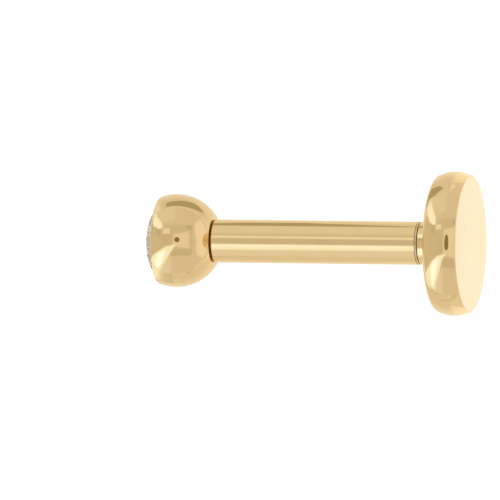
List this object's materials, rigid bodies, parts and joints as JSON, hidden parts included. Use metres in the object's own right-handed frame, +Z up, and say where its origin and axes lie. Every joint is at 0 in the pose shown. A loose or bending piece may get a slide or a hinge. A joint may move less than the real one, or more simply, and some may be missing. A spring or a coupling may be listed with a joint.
{
  "type": "piercing stud",
  "caption": "Gold labret stud: a round clear stone set in a ball end, a straight tube post and a flat round disc back.",
  "frame": {"origin": "on the surface that the stud lies on, under the middle of its box", "axes": "+X along the floor under the stud, from the ball end to the disc; +Z up. The stud's own axis rises 5.07 degrees towards the disc, because it lies on its ball and on the disc's side."},
  "size_m": [0.0094, 0.004, 0.004],
  "materials": {
    "ball_gold": "polished yellow gold, satin rim",
    "clear_stone": "clear cut stone",
    "post_gold": "polished yellow gold",
    "disc_gold": "polished yellow gold, finely brushed face"
  },
  "bodies": {
    "front": {"bezel_ball": "ball_gold", "stone": "clear_stone"},
    "back": {"post": "post_gold", "disc_back": "disc_gold"}
  },
  "joints": [
    {"name": "end_pull", "type": "slide", "parent": "front", "child": "back", "axis": [0.9961, 0, 0.0884], "range_m": [0, 0.0065]}
  ]
}
